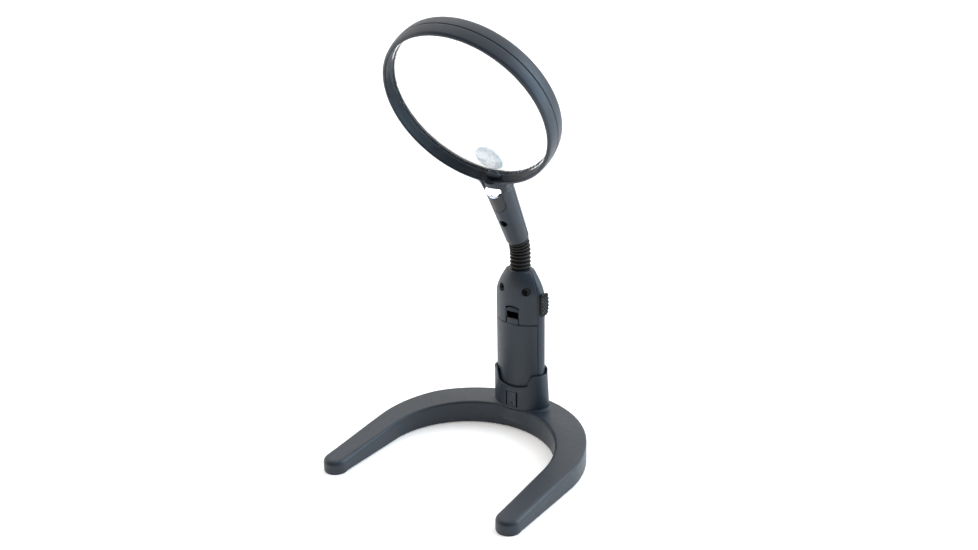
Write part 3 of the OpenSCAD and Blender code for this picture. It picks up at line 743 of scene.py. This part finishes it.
def clear(name, tint, rough, haze=0.0, haze_colour=(0.8, 0.8, 0.8)):
    """Clear acrylic. It lets lamps through, so that it casts no dark shadow."""
    material, tree, shader, place = new_material(name)
    nodes, links = tree.nodes, tree.links
    shader.inputs["Base Color"].default_value = (*tint, 1)
    shader.inputs["Transmission Weight"].default_value = 1
    shader.inputs["IOR"].default_value = 1.49
    links.new(ramp(tree, noise(tree, place, 6, 3), *rough), shader.inputs["Roughness"])
    surface = shader.outputs["BSDF"]
    if haze:
        cloud = nodes.new("ShaderNodeBsdfDiffuse")
        cloud.inputs["Color"].default_value = (*haze_colour, 1)
        blend = nodes.new("ShaderNodeMixShader")
        share = ramp(tree, noise(tree, place, 4, 2), haze * 0.8, haze * 1.2)
        links.new(share, blend.inputs["Fac"])
        links.new(surface, blend.inputs[1])
        links.new(cloud.outputs["BSDF"], blend.inputs[2])
        surface = blend.outputs["Shader"]
    path = nodes.new("ShaderNodeLightPath")
    through = nodes.new("ShaderNodeBsdfTransparent")
    choose = nodes.new("ShaderNodeMixShader")
    links.new(path.outputs["Is Shadow Ray"], choose.inputs["Fac"])
    links.new(surface, choose.inputs[1])
    links.new(through.outputs["BSDF"], choose.inputs[2])
    links.new(choose.outputs["Shader"], nodes["Material Output"].inputs["Surface"])
    return material


def lit_window(name, low, high, colour):
    """Clear window filled with light from the lamps behind it."""
    material, tree, shader, place = new_material(name)
    glow = ramp(tree, noise(tree, place, 3, 2), low, high)
    shader.inputs["Base Color"].default_value = (*colour, 1)
    shader.inputs["Emission Color"].default_value = (0.92, 0.96, 1, 1)
    shader.inputs["Roughness"].default_value = 0.15
    tree.links.new(glow, shader.inputs["Emission Strength"])
    return material


SLATE = moulded("slate_plastic", (0.014, 0.021, 0.031), (0.017, 0.025, 0.036), specular=0.42)
SHADE = moulded("shaded_plastic", (0.004, 0.006, 0.009), (0.006, 0.008, 0.012), specular=0.2)
COVER = moulded("cover_plastic", (0.019, 0.020, 0.022), (0.022, 0.023, 0.025), (0.42, 0.5))
BLACK = moulded(
    "black_plastic", (0.008, 0.008, 0.009), (0.012, 0.012, 0.013), (0.36, 0.46), 0.35, 0.25, 0.25
)
# A lighter black for the tops of the button's knurl: a painted highlight
KNURL_PAINTED_HIGHLIGHT = moulded("knurl_tops_painted_highlight", (0.03, 0.028, 0.025), (0.045, 0.042, 0.038), (0.35, 0.45))
RUBBER = moulded(
    "neck_rubber", (0.008, 0.007, 0.006), (0.012, 0.011, 0.009), (0.45, 0.58), 0.5, 0.4, 0.3
)
# A darker copy of the neck's rubber for the sleeves in the grooves: painted shade
GROOVE_PAINTED_SHADE = moulded(
    "neck_groove_painted_shade", (0.003, 0.003, 0.003), (0.005, 0.005, 0.005), (0.6, 0.75), 0.5, 0.4, 0.2
)
FOOT = moulded("foot_rubber", (0.010, 0.010, 0.010), (0.018, 0.018, 0.018), (0.6, 0.75), 0.6, 0.5)
SLEEVE = moulded("battery_sleeve", (0.10, 0.11, 0.13), (0.13, 0.14, 0.16), (0.25, 0.32), 2, 0.1)
WIRE = moulded("wire_plastic", (0.30, 0.02, 0.015), (0.38, 0.03, 0.02), (0.3, 0.4), 1, 0.1)
BOARD = moulded("board_lacquer", (0.01, 0.09, 0.04), (0.02, 0.13, 0.06), (0.25, 0.35), 1, 0.2)
BOWL = moulded("white_bowl", (0.75, 0.75, 0.73), (0.82, 0.82, 0.80), (0.3, 0.4), 1, 0.1)
# Darker steel for the screws that sit in the column's and the head's holes: painted shade of those
# holes
PAINTED_SHADE_STEEL = metal("steel_painted_shade", (0.015, 0.015, 0.016), (0.03, 0.03, 0.032), (0.4, 0.55))
STEEL = metal("zinc_steel", (0.42, 0.43, 0.44), (0.60, 0.61, 0.62))
BRASS = metal("spring_brass", (0.60, 0.46, 0.20), (0.72, 0.58, 0.30))
BALLAST = metal("sheet_steel", (0.22, 0.22, 0.23), (0.34, 0.34, 0.35), (0.4, 0.6))
LENS = clear("lens_acrylic", (0.985, 0.995, 1.0), (0.0, 0.004))
SPOT = clear("spot_acrylic", (0.93, 0.94, 0.94), (0.2, 0.3), 0.55, (0.8, 0.8, 0.8))
WINDOW = lit_window("lamp_window", 3.0, 4.0, (0.9, 0.95, 1))
WINDOW_RIM = lit_window("lamp_window_rim", 0.45, 0.8, (0.35, 0.5, 0.8))
LAMP_EDGE = moulded("lamp_edge", (0.01, 0.02, 0.06), (0.02, 0.035, 0.09), (0.2, 0.3), 1, 0.1)


# ---------- the object's pieces ----------

head_up = [0, -math.sin(HEAD_LEAN), math.cos(HEAD_LEAN)]
head_point = gap_points[-1] + RIB_GAP / 2 * np.array(head_up)
ON_HEAD = Matrix.Translation(Vector(head_point * MM)) @ Matrix.Rotation(HEAD_LEAN, 4, "X")
UPRIGHT = ON_HEAD.inverted()


def put(obj, node, material):
    """Gives a piece its material and slot, lets it stand for a CAD node, and rides it."""
    obj.data.materials.append(material)
    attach(obj, frame["nodes"][node]["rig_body"])
    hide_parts(node)
    return obj


put(
    solid("horseshoe_shell", base_shell, base_lo, base_hi, 0.8),
    "base_shell", SLATE,
)
put(
    solid("socket", socket_collar, collar_lo - [2, 2, 0], collar_hi + [2, 2, 0], 0.35),
    "socket_collar", SLATE,
)
put(
    solid("socket_tab", release_tab, tab_lo - 1.5, tab_hi + 1.5, 0.3),
    "release_tab", SLATE,
)
put(
    solid("column_back", column_rear, column_lo, column_hi, 0.5),
    "column_rear_shell", SLATE,
)
put(
    solid("column_face", column_front, front_lo, front_hi + [0, -PART_Y, 0], 0.3),
    "column_front_shell", SLATE,
)
put(
    solid("cell_door", battery_door, door_lo, door_hi, 0.45),
    "battery_door", SLATE,
)
put(
    solid("slide_button", switch_slider, slider_lo + [4, 0, 0], slider_hi, 0.16),
    "switch_slider", BLACK,
)

# The tops of the button's knurl get a lighter black: a painted highlight
button = bpy.data.objects["slide_button"]
button.data.materials.append(KNURL_PAINTED_HIGHLIGHT)
for polygon in button.data.polygons:
    if polygon.center.x / MM > slider_hi[0] - 0.45 and polygon.normal.x > 0.5:
        polygon.material_index = 1

ring_lo = np.array([-RING_R, RING_Y - RING_FRONT - 3.5, 0])
ring_hi = np.array([RING_R, RING_Y + RING_BACK, LENS_Z + RING_R])
put(
    solid(
        "head_face", head_front, ring_lo - [0, 1, 0], [RING_R, RING_Y, ring_hi[2]], 0.55, ON_HEAD
    ),
    "head_front_shell", SLATE,
)
put(
    solid("head_back", head_rear, [-RING_R, RING_Y, 0], ring_hi, 0.6, ON_HEAD),
    "head_rear_shell", SLATE,
)
# The wall inside the ring has a darker tone, which stands for its own shade
for ring_piece in (bpy.data.objects["head_face"], bpy.data.objects["head_back"]):
    ring_piece.data.materials.append(SHADE)
    for polygon in ring_piece.data.polygons:
        at = UPRIGHT @ polygon.center / MM - Vector((0, 0, LENS_Z))
        faces = UPRIGHT.to_3x3() @ polygon.normal
        q = math.hypot(at.x, at.z)
        inward = -(faces.x * at.x + faces.z * at.z) / q
        if q < OPEN_R + SHADE_DEPTH and inward > 0.8:
            polygon.material_index = 1

lens_reach = [LENS_R, 7, LENS_R]
lens_c = np.array([0, RING_Y, LENS_Z])
put(
    solid("big_lens", main_lens, lens_c - lens_reach, lens_c + lens_reach, 0.9, ON_HEAD),
    "main_lens", LENS,
)
spot_c = lens_c - [0, 0, SPOT_DROP]
spot_reach = [SPOT_R, 5, SPOT_R]
put(
    solid("small_lens", spot_lens, spot_c - spot_reach, spot_c + spot_reach, 0.4, ON_HEAD),
    "spot_lens", SPOT,
)
put(
    solid("rim_clip", lens_clip, [-6, -5, 56], [6, 0, 65], 0.2, ON_HEAD),
    "lens_clip", SLATE,
)
put(
    solid("lamp_lid", lamp_cover, [-8, -10, 31], [8, 0, 50], 0.25, ON_HEAD),
    "led_cover", COVER,
)
put(
    solid("lamp_glass", lamp_window, LAMP_C - 7, LAMP_C + 7, 0.25, ON_HEAD),
    "led_window", WINDOW,
)

# In the window: two round lamps side by side, the dark line under them, and the rim's glow
window = bpy.data.objects["lamp_glass"]
window.data.materials.append(LAMP_EDGE)
window.data.materials.append(WINDOW_RIM)
for polygon in window.data.polygons:
    x, y, z = UPRIGHT @ polygon.center / MM
    up = up_lamp(y, z)
    under = math.hypot(abs(x) - LAMP_X, up + LAMP_DOWN) - LAMP_SPOT_R
    if up < LAMP_ZONE_TOP and under > 0:
        polygon.material_index = 1 if under < LAMP_EDGE_W else 2



def stand(point, along):
    """Stands a lathed piece at a point, in millimetres, with its axis along a direction."""
    turn = Vector((0, 0, 1)).rotation_difference(along).to_matrix().to_4x4()
    return Matrix.Translation(Vector(point * MM)) @ turn


# The neck: ribs with round edges, and thin sleeves that bend in the gaps between them
edge = RIB_T / 2
rib_profile = [(SLEEVE_R - RIB_WALL, -edge)] + [
    (RIB_R - edge + edge * math.cos(a), edge * math.sin(a))
    for a in np.radians(range(-90, 91, 15))
] + [(SLEEVE_R - RIB_WALL, edge)]
# The fifth sleeve stays stiff, on the rib below it
MIDDLE_SLEEVE = 4
chain = ["column"] + [f"neck_rib_{i}" for i in range(1, 9)] + ["head"]
ribs = list(zip(gap_points, gap_points[1:], strict=False))
leans = [Vector(high - low).normalized() for low, high in ribs]
for i, (low, high) in enumerate(ribs):
    rib = lathe(f"rib_{i + 1}", rib_profile, stand((low + high) / 2, leans[i]))
    put(rib, f"neck_rib_{i + 1}", RUBBER)

levels = [SLEEVE_REACH * t for t in (-1, -0.6, -0.35, -0.1, 0.1, 0.35, 0.6, 1)]
sleeve_profile = [(SLEEVE_R, h) for h in levels]
sleeve_profile += [(SLEEVE_R - SLEEVE_WALL, h) for h in reversed(levels)]
leans = [Vector((0, 0, 1))] + leans + [Vector(head_up)]
for i, point in enumerate(gap_points):
    along = (leans[i] + leans[i + 1]).normalized()
    sleeve = lathe(f"neck_sleeve_{i + 1}", sleeve_profile, stand(point, along), 48)
    # The sleeves in the grooves take the darker rubber: painted shade
    sleeve.data.materials.append(GROOVE_PAINTED_SHADE)
    centre = Vector(point * MM)
    if i == MIDDLE_SLEEVE:
        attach(sleeve, chain[i])
    else:
        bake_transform(sleeve)

carried_over = {
    "base_plate": SLATE,
    "ballast_plate": BALLAST,
    "front_feet": FOOT,
    "rear_feet": FOOT,
    "base_screws": STEEL,
    "collar_screws": STEEL,
    "column_screws": PAINTED_SHADE_STEEL,
    "battery_left": SLEEVE,
    "battery_middle": SLEEVE,
    "battery_right": SLEEVE,
    "contact_springs": STEEL,
    "contact_plates": BRASS,
    "switch_body": BLACK,
    "column_wires": WIRE,
    "neck_lower_ferrule": STEEL,
    "neck_upper_ferrule": STEEL,
    "led_reflector": BOWL,
    "leds": BOWL,
    "led_board": BOARD,
    "head_screw": PAINTED_SHADE_STEEL,
    "head_wires": WIRE,
}
for name, material in carried_over.items():
    mesh = frame["nodes"][name].data
    mesh.materials.clear()
    mesh.materials.append(material)


# ---------- studio ----------


def floor_material():
    material, tree, shader, place = new_material("pale_floor")
    tone = mix_colour(tree, noise(tree, place, 60, 2), (0.93, 0.93, 0.93), (0.95, 0.95, 0.95))
    tree.links.new(tone, shader.inputs["Base Color"])
    shader.inputs["Roughness"].default_value = 0.9
    shader.inputs["Specular IOR Level"].default_value = 0.1
    shader.inputs["Emission Color"].default_value = (1, 0.97, 0.94, 1)
    shader.inputs["Emission Strength"].default_value = 0.28
    return material


bpy.ops.mesh.primitive_plane_add(size=12, location=(0, 0, 0))
floor = bpy.context.object
floor.name = "floor"
floor.data.materials.append(floor_material())

world = bpy.data.worlds.new("studio")
bpy.context.scene.world = world
world.use_nodes = True
sky = world.node_tree
direction = sky.nodes.new("ShaderNodeTexCoord")
towards = sky.nodes.new("ShaderNodeVectorMath")
towards.operation = "DOT_PRODUCT"
towards.inputs[1].default_value = (-0.4, 0.92, -0.05)
brightness = sky.nodes.new("ShaderNodeMapRange")
brightness.inputs["From Min"].default_value = -0.5
brightness.inputs["From Max"].default_value = 0.35
brightness.inputs["To Min"].default_value = 0.12
brightness.inputs["To Max"].default_value = 1.1
sky.links.new(direction.outputs["Generated"], towards.inputs[0])
sky.links.new(towards.outputs["Value"], brightness.inputs["Value"])
sky.links.new(brightness.outputs["Result"], sky.nodes["Background"].inputs["Strength"])
sky.nodes["Background"].inputs["Color"].default_value = (1, 0.975, 0.95, 1)

overhead = bpy.data.lights.new("overhead", "SUN")
overhead.energy = 1.75
overhead.specular_factor = 0.6
overhead.color = (0.97, 0.985, 1)
overhead.angle = math.radians(110)
overhead_obj = bpy.data.objects.new("overhead", overhead)
bpy.context.scene.collection.objects.link(overhead_obj)
overhead_obj.rotation_euler = Vector((0.15, 0.3, 1)).to_track_quat("Z", "Y").to_euler()


def area_light(name, place, aim, size, power, colour):
    light = bpy.data.lights.new(name, "AREA")
    light.shape = "RECTANGLE"
    light.size, light.size_y = size
    light.energy = power
    light.color = colour
    obj = bpy.data.objects.new(name, light)
    bpy.context.scene.collection.objects.link(obj)
    obj.location = place
    obj.rotation_euler = (Vector(place) - Vector(aim)).to_track_quat("Z", "Y").to_euler()


centre = (0, -0.05, 0.15)
area_light("left_softbox", (-1.3, -0.4, 0.6), centre, (0.6, 1.2), 3.2, (1, 0.98, 0.96))
area_light("right_softbox", (1.2, 0.7, 0.7), centre, (0.7, 1.4), 18, (0.56, 0.79, 1))

camera_data = bpy.data.cameras.new("camera")
camera = bpy.data.objects.new("camera", camera_data)
bpy.context.scene.collection.objects.link(camera)
bpy.context.scene.camera = camera
AZIMUTH, ELEVATION, ROLL = (math.radians(a) for a in (34.12, 20.5, -0.9))
AIM = Vector((0.0163, -0.0628, 0.1374))
DISTANCE = 0.7718
camera_data.sensor_width = 36
camera_data.lens = 44.55
camera_data.clip_start, camera_data.clip_end = 0.01, 50
back = Vector(
    (
        math.sin(AZIMUTH) * math.cos(ELEVATION),
        -math.cos(AZIMUTH) * math.cos(ELEVATION),
        math.sin(ELEVATION),
    )
)
camera.location = AIM + back * DISTANCE
aimed = (-back).to_track_quat("-Z", "Y").to_matrix().to_4x4()
turned = aimed @ Matrix.Rotation(ROLL, 4, "Z")
camera.rotation_euler = turned.to_euler()
bpy.context.scene.view_settings.view_transform = "Standard"
